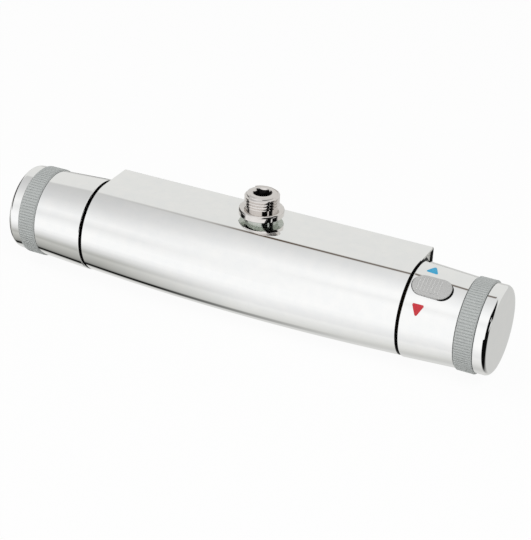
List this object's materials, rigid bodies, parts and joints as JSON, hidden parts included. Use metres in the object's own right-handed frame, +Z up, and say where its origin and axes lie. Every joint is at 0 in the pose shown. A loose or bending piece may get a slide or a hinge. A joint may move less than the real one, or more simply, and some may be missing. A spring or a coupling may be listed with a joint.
{
  "type": "thermostatic shower valve",
  "caption": "Chromed thermostatic bar valve for a shower, with a temperature knob and stop button on the right, a flow knob on the left and a threaded outlet on top of its flat shelf",
  "frame": {"origin": "midway between the hot and cold inlets, on the plane where their sealing washers meet the wall pipes", "axes": "+X along the bar to the temperature knob, +Y to the wall, +Z up"},
  "size_m": [0.311, 0.0775, 0.0758],
  "materials": {
    "chrome": "mirror-bright chrome plating",
    "brass": "machined, uncoated",
    "steel": "stainless, plain",
    "rubber": "smooth black sealing rubber",
    "white_plastic": "moulded off-white plastic",
    "poppet_plastic": "moulded blue plastic",
    "ceramic": "lapped ceramic",
    "grip": "satin grey, finely ribbed",
    "button": "satin light grey",
    "blue": "blue inlay",
    "red": "red inlay"
  },
  "bodies": {
    "valve_body": {"cover_shell": "chrome", "cover_screws": "steel", "body_casting": "brass", "outlet_nipple": "chrome", "outlet_seal": "rubber", "inlet_tail_hot": "brass", "inlet_tail_cold": "brass", "inlet_washer_hot": "rubber", "inlet_washer_cold": "rubber", "inlet_filter_hot": "steel", "inlet_filter_cold": "steel", "check_valve_hot": "white_plastic", "check_valve_cold": "white_plastic", "check_spring_hot": "steel", "check_spring_cold": "steel", "cartridge_sleeve": "white_plastic", "cartridge_head": "white_plastic", "cartridge_seals": "rubber", "cartridge_nut": "brass", "return_spring": "steel", "temp_stop_ring": "white_plastic", "flow_body": "white_plastic", "flow_seals": "rubber", "flow_base_seal": "rubber", "fixed_disc": "ceramic", "flow_nut": "brass", "flow_stop_ring": "white_plastic"},
    "temp_knob": {"temp_sleeve": "chrome", "temp_grip_ring": "grip", "temp_end_cap": "chrome", "temp_hub": "white_plastic", "temp_hub_screw": "steel", "temp_spindle": "brass", "cold_marker": "blue", "hot_marker": "red", "button_spring": "steel"},
    "stop_button": {"stop_button": "button"},
    "thermostat_train": {"shuttle": "steel", "wax_element": "brass", "thrust_button": "brass", "overload_spring": "steel", "pusher": "brass"},
    "flow_knob": {"flow_sleeve": "chrome", "flow_grip_ring": "grip", "flow_end_cap": "chrome", "flow_hub": "white_plastic", "flow_hub_screw": "steel", "flow_spindle": "brass", "moving_disc": "ceramic"},
    "union_nut_hot": {"union_nut_hot": "chrome"},
    "union_nut_cold": {"union_nut_cold": "chrome"},
    "check_poppet_hot": {"check_poppet_hot": "poppet_plastic"},
    "check_poppet_cold": {"check_poppet_cold": "poppet_plastic"}
  },
  "joints": [
    {"name": "temp_knob_turn", "type": "hinge", "parent": "valve_body", "child": "temp_knob", "pos_m": [0.12, -0.04, 0], "axis": [1, 0, 0], "range_deg": [-190, 75]},
    {"name": "button_press", "type": "slide", "parent": "temp_knob", "child": "stop_button", "axis": [0, 0.5, -0.866], "range_m": [0, 0.002], "stiffness_N_per_m": 1500, "springref_m": -0.001, "deforming": ["button_spring"]},
    {"name": "thermostat_slide", "type": "slide", "parent": "valve_body", "child": "thermostat_train", "axis": [1, 0, 0], "range_m": [-0.002, 0.0008], "deforming": ["return_spring"]},
    {"name": "flow_knob_turn", "type": "hinge", "parent": "valve_body", "child": "flow_knob", "pos_m": [-0.12, -0.04, 0], "axis": [1, 0, 0], "range_deg": [0, 90]},
    {"name": "union_hot_turn", "type": "hinge", "parent": "valve_body", "child": "union_nut_hot", "pos_m": [-0.075, 0, 0], "axis": [0, 1, 0], "continuous": true},
    {"name": "union_cold_turn", "type": "hinge", "parent": "valve_body", "child": "union_nut_cold", "pos_m": [0.075, 0, 0], "axis": [0, 1, 0], "continuous": true},
    {"name": "check_hot_open", "type": "slide", "parent": "valve_body", "child": "check_poppet_hot", "axis": [0, -1, 0], "range_m": [0, 0.0025], "stiffness_N_per_m": 200, "springref_m": -0.001, "deforming": ["check_spring_hot"]},
    {"name": "check_cold_open", "type": "slide", "parent": "valve_body", "child": "check_poppet_cold", "axis": [0, -1, 0], "range_m": [0, 0.0025], "stiffness_N_per_m": 200, "springref_m": -0.001, "deforming": ["check_spring_cold"]}
  ],
  "couplings": [
    {"joint": "thermostat_slide", "follows": "temp_knob_turn", "m_per_rad": 0.0006}
  ]
}
